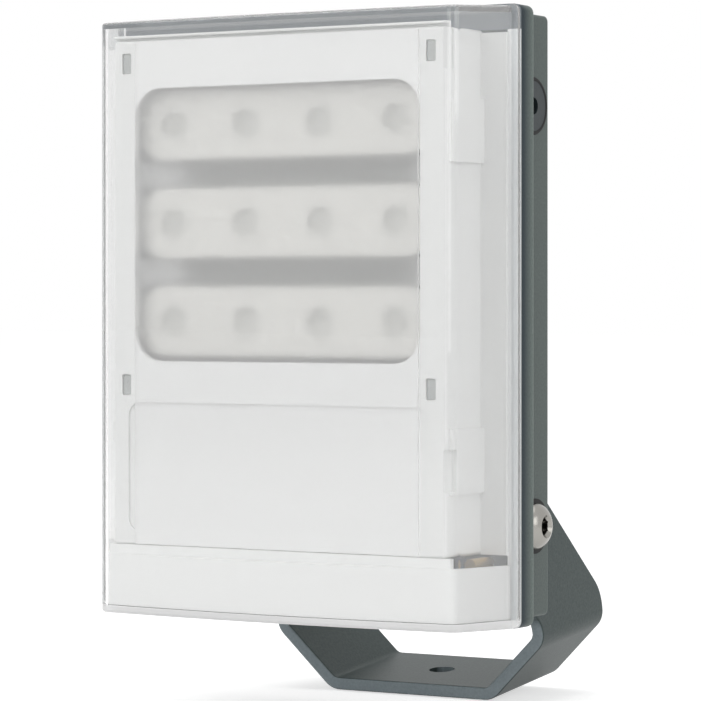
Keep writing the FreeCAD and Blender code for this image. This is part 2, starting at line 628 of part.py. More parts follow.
# Bottom trim: a white moulded strip that follows the inside of the cover.
def bottom_trim():
    outer_inset = size("cover_wall") + size("fit_gap")
    inner_inset = outer_inset + size("bezel_wall")
    top, bottom = -size("trim_top"), -size("trim_bottom")
    trim_blocks = []
    for inset in (outer_inset, inner_inset):
        block = prism(plan_curves(inset), bottom, top)
        corner = cover_plan(inset)[1]
        uprights = [edge for edge in block.Edges
                    if along(edge, Vector(0, 0, 1)) and edge.BoundBox.YMax < corner.y + 0.01]
        trim_blocks.append(block.makeFillet(size("cover_round") - size("cover_wall"), uprights))
    outer, inner = trim_blocks
    reach, wall = HALF_WIDTH - size("trim_margin"), size("bezel_wall")
    depth = size("cover_depth") + size("cover_bow")
    riser_y = -size("bezel_front") + wall
    shelf = outer.common(Part.makeBox(2 * reach, depth + riser_y, wall, Vector(-reach, -depth, top - wall)))
    riser = Part.makeBox(2 * reach, wall, size("trim_top") - size("bezel_bottom") + wall,
                         Vector(-reach, riser_y - wall, top - wall))
    strip = outer.cut(inner).fuse([shelf, riser]).removeSplitter()
    gap = size("fit_gap")
    ends = Part.makeBox(2 * HALF_WIDTH, gap, size("frame_height"), Vector(-HALF_WIDTH, -gap, -HALF_HEIGHT))
    feature("bottom_trim", strip.cut(ends))


def brass_post(name, side):
    x = side * (size("bezel_width") / 2 + size("post_radius"))
    post = Part.makeCylinder(size("post_radius"), size("post_length"))
    z = -size("trim_top") + 0.6
    feature("brass_post_" + name, post, at(x, 0, z, FACING_FRONT))


# Cable gland: body through the plate, dome nut, seal and locknut.
def cable_gland():
    radius, bore = size("gland_thread") / 2, size("gland_bore") / 2
    plate, collar, top = size("plate_thick"), size("gland_collar"), size("gland_dome")
    floor = size("frame_depth") + plate
    z = -size("gland_height")
    inside = plate + size("locknut_height") + 2
    seat = bore + 3
    stem = turned([(bore + 1.5, -inside), (radius, -inside), (radius, top - 5), (seat, top - 5), (seat, collar),
                   (bore + 1.5, collar)])
    hexagonal = hexagon(size("gland_hex"), collar).cut(Part.makeCylinder(radius - 0.5, collar))
    feature("gland_body", stem.fuse(hexagonal).removeSplitter(), at(0, floor, z, FACING_BACK))
    low, high = collar + 0.2, top - 4
    seal = turned([(bore, low), (seat - 0.1, low), (seat - 0.1, high), (bore, high)])
    feature("gland_seal", seal, at(0, floor, z, FACING_BACK))
    wide, inner = size("gland_hex") / 2, radius + 0.1
    dome = turned([(inner, collar + 0.1), (wide, collar + 0.1), (wide, top - 5), (wide - 1.5, top - 1.5),
                   (bore + 1, top), (bore + 1, top - 3), (seat, top - 3.8), (inner, top - 4.6)])
    feature("gland_nut", dome, at(0, floor, z, FACING_BACK))
    height = size("locknut_height")
    locknut = hexagon(size("locknut_size"), height).cut(Part.makeCylinder(radius, height))
    feature("gland_locknut", locknut, at(0, size("frame_depth"), z, FACING_FRONT))


# Frame screws: pan heads on the back of the frame.
def frame_screws():
    radius = size("screw_diameter") / 2
    length = size("frame_depth") - 0.5
    screw = turned([(0, 0), (radius * 2, 0), (radius * 2, 1.6), (radius * 1.3, 2.5), (0, 2.5)])
    screw = screw.fuse(Part.makeCylinder(radius, length, Vector(0, 0, -length)))
    screw = screw.cut(hexagon(2.5, 1.5).translated(Vector(0, 0, 1.2)))
    screw.rotate(Vector(), Vector(1, 0, 0), -90)
    group = [screw.translated(Vector(x, size("frame_depth"), z)) for x, z in screw_places()]
    feature("frame_screws", Part.makeCompound(group))


# Pivot: on each side a button-head bolt, sealing washer, spacer and nut, with the arm between.
def pivot_bolt():
    radius, head = size("bolt_diameter") / 2, size("head_diameter") / 2
    height = size("head_height")
    crown = 4.4
    side = Part.makeLine(Vector(head, 0, 0), Vector(head, 0, 0.8))
    rise = Part.Arc(Vector(head, 0, 0.8), Vector(head * 0.8, 0, height * 0.7), Vector(crown, 0, height))
    dome = rise.toShape()
    top = Part.makePolygon([Vector(crown, 0, height), Vector(), Vector(head, 0, 0)])
    profile = Part.Face(Part.Wire(Part.__sortEdges__([side, dome] + top.Edges)))
    bolt = profile.revolve(Vector(), Vector(0, 0, 1), 360)
    bolt = bolt.fuse(Part.makeCylinder(radius, size("bolt_length"), Vector(0, 0, -size("bolt_length"))))
    socket = hexagon(size("socket_size"), size("socket_depth"))
    return bolt.cut(socket.translated(Vector(0, 0, height - size("socket_depth"))))


def pivot_hardware(name, side, facing):
    outer = size("housing_width") / 2
    inner = outer - size("cheek_thick")
    arm_outer = size("bracket_inside") / 2 + size("bracket_thick")
    bolt_radius = size("bolt_diameter") / 2
    y, z = size("pivot_back"), -size("pivot_drop")

    def washer(radius, thickness, gap):
        return turned([(bolt_radius + gap, 0), (radius, 0), (radius, thickness), (bolt_radius + gap, thickness)])

    seat = outer + size("washer_thick")
    feature("pivot_bolt_" + name, pivot_bolt(), at(side * seat, y, z, facing))
    feature("pivot_washer_" + name, washer(size("washer_diameter") / 2, size("washer_thick"), 0.1),
            at(side * outer, y, z, facing))
    spacer = inner - arm_outer - size("play")
    feature("pivot_spacer_" + name, washer(size("nut_size") / 2, spacer, 0.1),
            at(side * (inner - spacer), y, z, facing))
    nut = hexagon(size("nut_size"), size("nut_height")).cut(Part.makeCylinder(bolt_radius, size("nut_height")))
    feature("pivot_nut_" + name, nut,
            at(side * (size("bracket_inside") / 2 - size("play") - size("nut_height")), y, z, facing))
    wide, shank, rise = size("washer_diameter") / 2, bolt_radius + 0.1, size("plug_rise")
    depth = size("cheek_thick")
    plug = turned([(0, -depth - 2), (shank - 1, -depth - 2), (shank, -depth), (shank, 0), (wide, 0),
                   (wide, rise / 2), (wide - rise, rise), (3.2, rise), (3.2, -depth / 2), (0, -depth / 2)])
    feature("blanking_plug_" + name, plug, at(side * outer, y, HALF_HEIGHT - size("plug_drop"), facing))


# U bracket: one steel plate, cut to shape and bent four times.
def offset_corner(before, corner, after, distance):
    """The corner of a bent plate on its other side, to the left of the path."""
    first, second = (corner - before).normalize(), (after - corner).normalize()
    left, other = Vector(-first.y, first.x, 0), Vector(-second.y, second.x, 0)
    bisector = left + other
    return corner + bisector * (distance / (1 + left.dot(other)))


def u_bracket():
    bracket = body("u_bracket", BRACKET)
    thick = size("bracket_thick")
    inside, base = size("bracket_inside") / 2, size("bracket_base") / 2
    top = size("arm_round") * 2
    floor = -size("bracket_drop") + thick
    bend = floor + size("bend_rise")
    path = [Vector(inside, top, 0), Vector(inside, bend, 0), Vector(base, floor, 0),
            Vector(-base, floor, 0), Vector(-inside, bend, 0), Vector(-inside, top, 0)]
    outside = [offset_corner(path[index - 1], path[index], path[index + 1], thick) for index in range(1, 5)]
    points = [(point.x, point.y) for point in path]
    points += [(-inside - thick, top)] + [(point.x, point.y) for point in reversed(outside)]
    points += [(inside + thick, top)]
    inner_bend, outer_bend = size("bend_radius"), size("bend_radius") + thick
    radii = [0] + [inner_bend] * 4 + [0, 0] + [outer_bend] * 4 + [0]
    front = size("base_reach")
    back = front + size("base_depth") + thick
    pad(bracket, "XZ_Plane", outline(points, radii), -back, f"{back + size('arm_round') * 2}")
    # Seen from the side, the arm is a leaning strip with a round end that widens to the base.
    half, slope = size("arm_round"), math.sqrt(0.5)
    offset = size("arm_offset")
    middle = Vector(offset * slope, offset * slope, 0)
    end = middle + Vector(-half * slope, half * slope, 0)
    front_end = end - Vector(half * slope, half * slope, 0)
    back_end = end + Vector(half * slope, half * slope, 0)
    rear = front + size("base_depth")
    front_corner = (front, front_end.x + front_end.y - front)
    back_corner = (rear, back_end.x + back_end.y - rear)
    low = -size("bracket_drop") - thick
    shape = [(front, low), front_corner, (front_end.x, front_end.y), (back_end.x, back_end.y),
             back_corner, (rear, low)]
    keep = outline(shape, [0, size("arm_neck"), half - 0.05, half - 0.05, size("arm_corner"), 0])
    reach = top + back
    around = rectangle(-reach, reach, -reach - thick, reach)
    width = inside + thick + 1
    cut(bracket, "YZ_Plane", around + keep, width, f"{2 * width}")
    level = Vector(0, 1, 0)
    round_edges(bracket, "Sizes.bracket_edge", lambda edge: not along(edge, level))
    bore = circle(0, 0, size("bolt_diameter") / 2 + size("running_gap"))
    cut(bracket, "YZ_Plane", bore, width, f"{2 * width}")
    hole = circle(0, BASE_MIDDLE, size("base_hole") / 2)
    cut(bracket, "XY_Plane", hole, floor + 1, f"{thick + 2}")


front_frame()
seals()
rear_housing()
clear_cover()
inner_bezel()
lens_sheet()
for row_name, step in (("upper", 1), ("middle", 0), ("lower", -1)):
    light_row(row_name, size("row_middle") + step * size("row_pitch"))
heat_spreader()
driver()
bottom_trim()
for side_name, side, facing in (("left", -1, FACING_LEFT), ("right", 1, FACING_RIGHT)):
    brass_post(side_name, side)
    pivot_hardware(side_name, side, facing)
cable_gland()
frame_screws()
u_bracket()

document.recompute()
failed = [thing.Name for thing in document.Objects if {"Invalid", "Error"} & set(thing.State)]
if failed:
    raise ValueError(f"objects that failed: {failed}")
os.makedirs("parts", exist_ok=True)
for node in nodes:
    if node.Shape.isNull() or not node.Shape.isValid():
        raise ValueError(f"{node.Label} has no valid shape")
for node in nodes:
    node.Shape.exportStep(f"parts/{node.Label}.step")
    box = node.Shape.BoundBox
    print(f"{node.Label}: {len(node.Shape.Solids)} solid, {node.Shape.Volume / 1000:.2f} cm3, "
          f"y {box.YMin:.1f} to {box.YMax:.1f}, z {box.ZMin:.1f} to {box.ZMax:.1f}")
print(f"{len(nodes)} sub-parts")
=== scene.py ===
# %% [markdown]
# A white light illuminator: a flat outdoor lamp head with a clear bowed cover, tilting in a
# U bracket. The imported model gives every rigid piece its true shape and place. This scene gives
# each piece its finish, adds the small forms that only show in a picture, and lights the lamp
# softly on a white floor. All lengths are metres, +Z is up and the lamp faces -Y.

import math

import bpy
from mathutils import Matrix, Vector


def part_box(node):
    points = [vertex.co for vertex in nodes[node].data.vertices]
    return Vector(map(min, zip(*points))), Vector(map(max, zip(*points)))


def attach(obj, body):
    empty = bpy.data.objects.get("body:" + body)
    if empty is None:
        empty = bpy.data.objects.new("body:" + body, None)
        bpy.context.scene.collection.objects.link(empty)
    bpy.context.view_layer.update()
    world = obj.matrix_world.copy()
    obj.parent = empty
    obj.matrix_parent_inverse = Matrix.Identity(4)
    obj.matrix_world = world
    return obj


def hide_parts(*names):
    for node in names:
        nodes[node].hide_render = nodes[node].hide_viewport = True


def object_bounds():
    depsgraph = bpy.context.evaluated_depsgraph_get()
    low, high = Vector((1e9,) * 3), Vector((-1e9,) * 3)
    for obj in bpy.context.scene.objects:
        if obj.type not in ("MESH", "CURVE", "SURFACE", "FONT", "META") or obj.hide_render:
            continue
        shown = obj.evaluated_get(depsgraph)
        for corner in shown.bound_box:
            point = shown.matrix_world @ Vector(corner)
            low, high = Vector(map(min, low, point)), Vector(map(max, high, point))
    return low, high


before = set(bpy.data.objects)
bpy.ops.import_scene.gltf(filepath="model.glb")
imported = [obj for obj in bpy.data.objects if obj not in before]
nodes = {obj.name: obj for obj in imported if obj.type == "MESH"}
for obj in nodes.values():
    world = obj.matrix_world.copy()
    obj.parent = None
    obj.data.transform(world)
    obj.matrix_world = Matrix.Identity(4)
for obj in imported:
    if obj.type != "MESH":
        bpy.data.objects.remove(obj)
cad_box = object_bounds()
print(f"{len(nodes)} nodes, box {[round(v, 4) for corner in cad_box for v in corner]}")

# %% [markdown]
# Colours are written as the hex values that a paint chart or a picture gives. Blender mixes light
# in linear values, so one function turns a hex value into a linear colour.

# %% Colour
def linear(text):
    """A linear RGBA colour from an sRGB hex value such as "#4f5b5b"."""
    channels = [int(text[index:index + 2], 16) / 255 for index in (1, 3, 5)]
    return [c / 12.92 if c <= 0.04045 else ((c + 0.055) / 1.055) ** 2.4 for c in channels] + [1.0]


print("mid grey is", [round(v, 3) for v in linear("#808080")])

# %% [markdown]
# A material is a small network of nodes. One function adds a node, sets its values and links it to
# the nodes before it. The others start a material, close it with its shader, and read a grain in
# real millimetres from the object's own coordinates, so that it stays on the piece when it tilts.

# %% Node helpers
def add_node(material, kind, inputs=None, **settings):
    """Adds one node. inputs maps a socket's name to a value or to another node's output."""
    node = material.node_tree.nodes.new(kind)
    for name, value in settings.items():
        setattr(node, name, value)
    for name, value in (inputs or {}).items():
        socket = node.inputs[name]
        if isinstance(value, bpy.types.NodeSocket):
            material.node_tree.links.new(value, socket)
        else:
            socket.default_value = value
    return node


def new_material(name):
    """An empty material with nodes."""
    material = bpy.data.materials.new(name)
    material.use_nodes = True
    material.node_tree.nodes.clear()
    return material


def close(material, shader):
    """Links the shader to the output and returns the material."""
    add_node(material, "ShaderNodeOutputMaterial", {"Surface": shader.outputs[0]})
    return material


def grain(material, millimetres, detail=2.0, stretch=(1, 1, 1)):
    """Noise from 0 to 1 whose lumps are about this size, optionally drawn out along an axis."""
    place = add_node(material, "ShaderNodeTexCoord")
    drawn = add_node(material, "ShaderNodeMapping", {
        "Vector": place.outputs["Object"], "Scale": stretch})
    noise = add_node(material, "ShaderNodeTexNoise", {
        "Vector": drawn.outputs[0], "Scale": 1000 / millimetres, "Detail": detail})
    return noise.outputs["Fac"]


print("helpers ready for materials")

# %% [markdown]
# Most surfaces here are opaque and differ in a few numbers: two close shades, the size and depth of
# their grain, how rough they are and whether they are metal. One function makes all of them, so
# each finish below is one call with its reasons. Where a colour changes along a piece, further
# shades are laid over the first, each with a small function that says where on the piece.

# %% Opaque finishes
def opaque(name, shades, grain_mm, depth_mm, roughness, metallic=0.0, gloss=0.5, detail=2.0,
           stretch=(1, 1, 1), layers=()):
    """An opaque finish whose colour and height follow one grain. shades are one colour or two
    close ones. A layer is (share, shades): share(material) gives 1 where the shades cover all."""
    material = new_material(name)
    pattern = grain(material, grain_mm, detail, stretch)
    colour = None
    for share, tones in ((None, shades), *layers):
        tone = add_node(material, "ShaderNodeMix", {
            "Factor": pattern, "A": linear(tones[0]), "B": linear(tones[-1])},
            data_type="RGBA").outputs["Result"]
        colour = tone if share is None else add_node(material, "ShaderNodeMix", {
            "Factor": share(material), "A": colour, "B": tone}, data_type="RGBA").outputs["Result"]
    bump = add_node(material, "ShaderNodeBump", {"Height": pattern, "Distance": depth_mm / 1000})
    shader = add_node(material, "ShaderNodeBsdfPrincipled", {
        "Base Color": colour, "Roughness": roughness, "Metallic": metallic,
        "Specular IOR Level": gloss, "Normal": bump.outputs["Normal"]})
    return close(material, shader)


print("one function for opaque finishes")

# %% [markdown]
# Frame, housing and bracket: aluminium and steel under a polyester powder coat. The powder melts
# to a fine orange peel of about a millimetre, so highlights break up. On the housing the colour grows
# a little paler towards the back. The laser-cut edges of the bracket, faces that look forwards or
# back, are painted paler than the plate's faces: a painted highlight where they catch the light.

# %% Powder coat
COAT = {"grain_mm": 0.9, "depth_mm": 0.05, "roughness": 0.42, "detail": 3.0}
HOUSING_FADE = (-0.09, -0.05)
EDGE_TURN = (0.55, 0.9)


def along_depth(material, start, end):
    """0 to 1 as the object's own Y runs from start to end."""
    place = add_node(material, "ShaderNodeTexCoord").outputs["Object"]
    depth = add_node(material, "ShaderNodeSeparateXYZ", {0: place}).outputs["Y"]
    return add_node(material, "ShaderNodeMapRange", {
        "Value": depth, "From Min": start, "From Max": end}).outputs[0]


def highlit_cut_edge(material):
    """1 on faces that look forwards or back, as the cut edges of the bracket do."""
    facing = add_node(material, "ShaderNodeTexCoord").outputs["Normal"]
    depth = add_node(material, "ShaderNodeSeparateXYZ", {0: facing}).outputs["Y"]
    size = add_node(material, "ShaderNodeMath", {0: depth}, operation="ABSOLUTE").outputs[0]
    return add_node(material, "ShaderNodeMapRange", {
        "Value": size, "From Min": EDGE_TURN[0], "From Max": EDGE_TURN[1]}).outputs[0]


powder_coat = opaque("powder_coat_polyester", ("#2e393b", "#54605c"), gloss=0.3, **COAT, layers=(
    (lambda material: along_depth(material, *HOUSING_FADE), ("#434e4d", "#626e69")),))
# The bracket's paler cut edges are a painted highlight.
powder_coat_steel = opaque("powder_coat_on_steel", ("#2d383a", "#535f5c"), gloss=0.22, **COAT, layers=(
    (highlit_cut_edge, ("#8b989d", "#adb8bd")),))
print("two coats, with an orange peel of", COAT["grain_mm"], "mm")

# %% [markdown]
# The frame's front carries the seal of the cover. The photograph shows a pale rim through the clear
# edge of the cover, and a greyer one along the top. Here a band round the frame's rim is taken to be
# bare milled aluminium, and the seal to be grey silicone. Their colours are a painted reflection of
# the white mouldings at the sides and below, and a painted shade of the top wall above. The clear
# edge is too thin for soft light to find its way there, so the colours carry that, in two runs.

# %% Silicone seal
RUN_REACH = 0.1056
frame_low, frame_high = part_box("front_frame")
frame_middle = [(low + high) / 2 for low, high in zip(frame_low, frame_high)]


def shaded_top_run(material):
    """1 along the top of the frame, 0 on the rest of it."""
    place = add_node(material, "ShaderNodeTexCoord").outputs["Object"]
    height = add_node(material, "ShaderNodeSeparateXYZ", {0: place}).outputs["Z"]
    return add_node(material, "ShaderNodeMath", {0: height, 1: frame_middle[2] + RUN_REACH},
                    operation="GREATER_THAN").outputs[0]


# The seal's pale sides and bottom are a painted reflection, its grey top run a painted shade.
seal_silicone = opaque("grey_silicone", ("#d2d6d7",), 1.5, 0.006, 0.55,
                       layers=((shaded_top_run, ("#6e757a",)),))
print("the top run starts", round(1000 * RUN_REACH), "mm above the middle")

# %% [markdown]
# The frame has the same coat, painted dark over its front part and paler towards its back edge, a
# painted shade. The milled band is on its front face only, outside a rectangle of two reaches.
# Divided by the reaches, a place inside that rectangle has no coordinate over 1, so the larger one
# decides.

# %% Frame coat with its milled band
BAND_REACH = 0.0836
FACE_DEPTH = 0.0005
DARK_SHARE = 0.2
shade_fade_start = frame_low[1] + DARK_SHARE * (frame_high[1] - frame_low[1])


def milled_band(material):
    """1 on the frame's front face outside the two reaches."""
    place = add_node(material, "ShaderNodeTexCoord").outputs["Object"]
    depth = add_node(material, "ShaderNodeSeparateXYZ", {0: place}).outputs["Y"]
    on_face = add_node(material, "ShaderNodeMath", {0: depth, 1: frame_low[1] + FACE_DEPTH},
                       operation="LESS_THAN")
    from_middle = add_node(material, "ShaderNodeVectorMath", {0: place, 1: (0, 0, frame_middle[2])},
                           operation="SUBTRACT")
    in_reaches = add_node(material, "ShaderNodeVectorMath", {
        0: from_middle.outputs[0], 1: (BAND_REACH, 1, RUN_REACH)}, operation="DIVIDE")
    sizes = add_node(material, "ShaderNodeVectorMath", {0: in_reaches.outputs[0]},
                     operation="ABSOLUTE")
    sides = add_node(material, "ShaderNodeSeparateXYZ", {0: sizes.outputs[0]})
    larger = add_node(material, "ShaderNodeMath", {0: sides.outputs["X"], 1: sides.outputs["Z"]},
                      operation="MAXIMUM")
    outside = add_node(material, "ShaderNodeMath", {0: larger.outputs[0], 1: 1.0},
                       operation="GREATER_THAN")
    return add_node(material, "ShaderNodeMath", {0: on_face.outputs[0], 1: outside.outputs[0]},
                    operation="MULTIPLY").outputs[0]


def shaded_top_of_band(material):
    """1 on the part of the milled band that runs along the top."""
    return add_node(material, "ShaderNodeMath", {0: milled_band(material), 1: shaded_top_run(material)},
                    operation="MULTIPLY").outputs[0]


# The coat's dark front and pale back on the frame are painted shade.
powder_coat_frame = opaque("powder_coat_frame", ("#16232a", "#2f3e46"), gloss=0.14, **COAT, layers=(
    (lambda material: along_depth(material, shade_fade_start, frame_high[1]), ("#616e68", "#939e98")),
    # The pale band is a painted reflection of the white mouldings, its grey top a painted shade.
    (milled_band, ("#e8eaea",)),
    (shaded_top_of_band, ("#777e83",))))
print("milled band outside", round(2000 * BAND_REACH), "by", round(2000 * RUN_REACH), "mm")

# %% [markdown]
# Bezel and bottom trim: white ABS from a polished mould. It is a satin white with an almost
# invisible grain. The bezel's margins, which the sheet doesn't cover, are painted a little greyer
# than the rest of its front, a painted shade, so its finish goes by the distance from the middle
# and by the face's direction.

# %% White mouldings
ABS = {"grain_mm": 3.0, "depth_mm": 0.004, "roughness": 0.34}
SHEET_EDGE = 0.0624
LOOKS_FORWARD = -0.7


def shaded_bezel_margin(material):
    """1 on the forward faces that lie further from the middle than the sheet's edge."""
    place = add_node(material, "ShaderNodeTexCoord")
    across = add_node(material, "ShaderNodeSeparateXYZ", {0: place.outputs["Object"]}).outputs["X"]
    sideways = add_node(material, "ShaderNodeMath", {0: across}, operation="ABSOLUTE").outputs[0]
    past_sheet = add_node(material, "ShaderNodeMath", {0: sideways, 1: SHEET_EDGE},
                          operation="GREATER_THAN").outputs[0]
    facing = add_node(material, "ShaderNodeSeparateXYZ", {0: place.outputs["Normal"]}).outputs["Y"]
    forwards = add_node(material, "ShaderNodeMath", {0: facing, 1: LOOKS_FORWARD},
                        operation="LESS_THAN").outputs[0]
    return add_node(material, "ShaderNodeMath", {0: past_sheet, 1: forwards},
                    operation="MULTIPLY").outputs[0]


# These white mouldings are painted a shade darker than the bezel: painted shade.
white_abs = opaque("white_abs_moulding", ("#dcdddc", "#e2e3e2"), **ABS)
# The greyer margins are painted shade.
white_abs_bezel = opaque("white_abs_bezel", ("#e6e7e6", "#ebeceb"), **ABS, layers=(
    (shaded_bezel_margin, ("#d8d9d8", "#dddedd")),))
print("white mouldings, margins past", round(1000 * SHEET_EDGE, 1), "mm")

# %% [markdown]
# Clear mouldings: glass-like plastics. Light bends in them by their index of refraction, 1.585 for
# polycarbonate. The cover's front is polished, while its side, top and bottom walls came out of the
# mould with a fine grain, which hides the inside a little: there more light scatters as a white
# haze. The normal says which wall a point is on. The end of the bottom wall gathers light from the
# white trim over it and glows in the photograph, so faces that look down, and all below the trim,
# are milky here. Blender doesn't focus lamp light through glass well, so a shadow ray passes it as
# a see-through film: the white parts behind stay lit.

# %% Clear finishes
FRONT_TURN = (0.5, 0.85)
DOWN_TURN = (-0.6, -0.9)
UNDER_TRIM = 0.0002


def clear(name, ior, front, walls, milky=0.0, milky_top=0.0):
    """A clear plastic. front and walls are (haze, roughness) of faces to the front and of the rest.
    milky is the further haze of faces that look down, and of all below milky_top."""
    material = new_material(name)
    place = add_node(material, "ShaderNodeTexCoord")
    height = add_node(material, "ShaderNodeSeparateXYZ", {0: place.outputs["Object"]}).outputs["Z"]
    facing = add_node(material, "ShaderNodeSeparateXYZ", {0: place.outputs["Normal"]})
    downwards = add_node(material, "ShaderNodeMapRange", {
        "Value": facing.outputs["Z"], "From Min": DOWN_TURN[0], "From Max": DOWN_TURN[1]}).outputs[0]
    low = add_node(material, "ShaderNodeMath", {0: height, 1: milky_top}, operation="LESS_THAN")
    either = add_node(material, "ShaderNodeMath", {0: downwards, 1: low.outputs[0]}, operation="MAXIMUM")
    below = add_node(material, "ShaderNodeMath", {0: either.outputs[0], 1: milky}, operation="MULTIPLY")
    forwards = add_node(material, "ShaderNodeMath", {0: facing.outputs["Y"]}, operation="ABSOLUTE")
    clearness, roughness = [add_node(material, "ShaderNodeMapRange", {
        "Value": forwards.outputs[0], "From Min": FRONT_TURN[0], "From Max": FRONT_TURN[1],
        "To Min": on_walls, "To Max": on_front}).outputs[0]
        for on_walls, on_front in ((1 - walls[0], 1 - front[0]), (walls[1], front[1]))]
    passed = add_node(material, "ShaderNodeMath", {0: clearness, 1: below.outputs[0]},
                      operation="SUBTRACT")
    plastic = add_node(material, "ShaderNodeBsdfPrincipled", {
        "Base Color": linear("#fefefe"), "IOR": ior, "Roughness": roughness,
        "Transmission Weight": passed.outputs[0]})
    film = add_node(material, "ShaderNodeBsdfTransparent", {"Color": linear("#fefefe")})
    path = add_node(material, "ShaderNodeLightPath")
    return close(material, add_node(material, "ShaderNodeMixShader", {
        "Fac": path.outputs["Is Shadow Ray"], 1: plastic.outputs[0], 2: film.outputs[0]}))


clear_polycarbonate = clear("clear_polycarbonate", 1.585, front=(0.06, 0.015), walls=(0.12, 0.06),
                            milky=0.7, milky_top=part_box("bottom_trim")[0][2] - UNDER_TRIM)
frosted_polycarbonate = clear("frosted_polycarbonate", 1.4, front=(0.08, 0.45), walls=(0.2, 0.3))
print("clear and frosted polycarbonate")

# %% [markdown]
# The lens strips behind the sheet: moulded acrylic with a satin skin. They let part of the light
# through and scatter the rest, so each strip shows as a pale milky band. The round centre of each
# lens is painted darker, a painted shade for the darker view through its polished middle. The lenses
# stand on a regular grid, so the pattern divides the place by the pitch and measures from the middle of
# each cell.

# %% Satin optics
LENS_PITCH = (0.0327, 0.0376)
FIRST_LENS = (0.01635, 0.14756)
LENS_RADIUS, LENS_FADE = 0.0046, 0.0032

satin_acrylic = new_material("satin_acrylic_optics")
spot = add_node(satin_acrylic, "ShaderNodeTexCoord").outputs["Object"]
for operation, vector in (
        ("SUBTRACT", (FIRST_LENS[0] - LENS_PITCH[0] / 2, 0, FIRST_LENS[1] - LENS_PITCH[1] / 2)),
        ("DIVIDE", (LENS_PITCH[0], 1, LENS_PITCH[1])),
        ("FRACTION", None),
        ("SUBTRACT", (0.5, 0, 0.5)),
        ("MULTIPLY", (LENS_PITCH[0], 0, LENS_PITCH[1])),
        ("LENGTH", None)):
    inputs = {0: spot, 1: vector} if vector else {0: spot}
    step = add_node(satin_acrylic, "ShaderNodeVectorMath", inputs, operation=operation)
    spot = step.outputs["Value" if operation == "LENGTH" else "Vector"]
off_lens = add_node(satin_acrylic, "ShaderNodeMapRange", {
    "Value": spot, "From Min": LENS_RADIUS, "From Max": LENS_RADIUS + LENS_FADE})
# The darker lens centres are painted shade.
milk = add_node(satin_acrylic, "ShaderNodeMix", {
    "Factor": off_lens.outputs[0], "A": linear("#c9c9c3"), "B": linear("#e4e3dd")}, data_type="RGBA")
skin = add_node(satin_acrylic, "ShaderNodeBump", {
    "Height": grain(satin_acrylic, 1.2), "Distance": 0.002 / 1000})
satin = add_node(satin_acrylic, "ShaderNodeBsdfPrincipled", {
    "Base Color": milk.outputs["Result"], "Roughness": 0.38, "IOR": 1.49,
    "Transmission Weight": 0.12, "Normal": skin.outputs["Normal"]})
close(satin_acrylic, satin)
print("lens centres of radius", round(1000 * LENS_RADIUS, 1), "mm, every", round(1000 * LENS_PITCH[0], 1),
      "by", round(1000 * LENS_PITCH[1], 1), "mm")

# %% [markdown]
# Metals: each gets the grain that its making leaves. A lathe leaves fine rings, a mill leaves
# lines, and nickel plating stays smooth.

# %% Metals
stainless = opaque("stainless_steel_turned", ("#b9bbba", "#d2d4d3"), 0.5, 0.004, 0.24, metallic=1.0)
nickel_brass = opaque("nickel_plated_brass", ("#a8a69c", "#bdbbb2"), 1.2, 0.003, 0.28, metallic=1.0)
turned_brass = opaque("turned_brass", ("#b8934a", "#d0ad64"), 0.4, 0.004, 0.3, metallic=1.0)
# The heat spreader's aluminium is painted dark grey: painted shade for the gaps between the rows.
milled_aluminium = opaque("milled_aluminium", ("#6f726e", "#858883"), 0.8, 0.006, 0.55, metallic=1.0,
                          stretch=(0.1, 1, 1))
print("four metals")

# %% [markdown]
# The pivot bolts are turned stainless too, painted a shade darker than the other stainless, and
# their deep hexagon socket is painted dark: both painted shade. The socket is all that lies within
# a few millimetres of the bolt's axis, so the finish goes by the distance from that axis.

# %% Bolt finish
SOCKET_RADIUS, SOCKET_BLUR = 0.0033, 0.0002
pivot_place = [(low + high) / 2 for low, high in zip(*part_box("pivot_bolt_right"))]


def past_socket(material):
    """0 in the hexagon socket, 1 on the head round it."""
    place = add_node(material, "ShaderNodeTexCoord").outputs["Object"]
    reach = add_node(material, "ShaderNodeVectorMath", {0: place, 1: (0, *pivot_place[1:])},
                     operation="SUBTRACT")
    flat = add_node(material, "ShaderNodeVectorMath", {0: reach.outputs[0], 1: (0, 1, 1)},
                    operation="MULTIPLY")
    from_axis = add_node(material, "ShaderNodeVectorMath", {0: flat.outputs[0]}, operation="LENGTH")
    return add_node(material, "ShaderNodeMapRange", {
        "Value": from_axis.outputs["Value"], "From Min": SOCKET_RADIUS - SOCKET_BLUR,
        "From Max": SOCKET_RADIUS}).outputs[0]


# The dark socket and the darker head are painted shade.
bolt_steel = opaque("stainless_button_head", ("#2a2926",), 0.7, 0.006, 0.25, metallic=1.0,
                    layers=((past_socket, ("#9b9994",)),))
print("bolt axis at", [round(1000 * v, 2) for v in pivot_place[1:]], "mm")

# %% [markdown]
# Rubber is dull and slightly dusty. Nylon and acetal come from a fine mould and keep a low sheen.
# The boards are covered with a lacquer, the solder mask, which is smooth and rather glossy, and the
# light packages with a resin that holds the yellow phosphor.

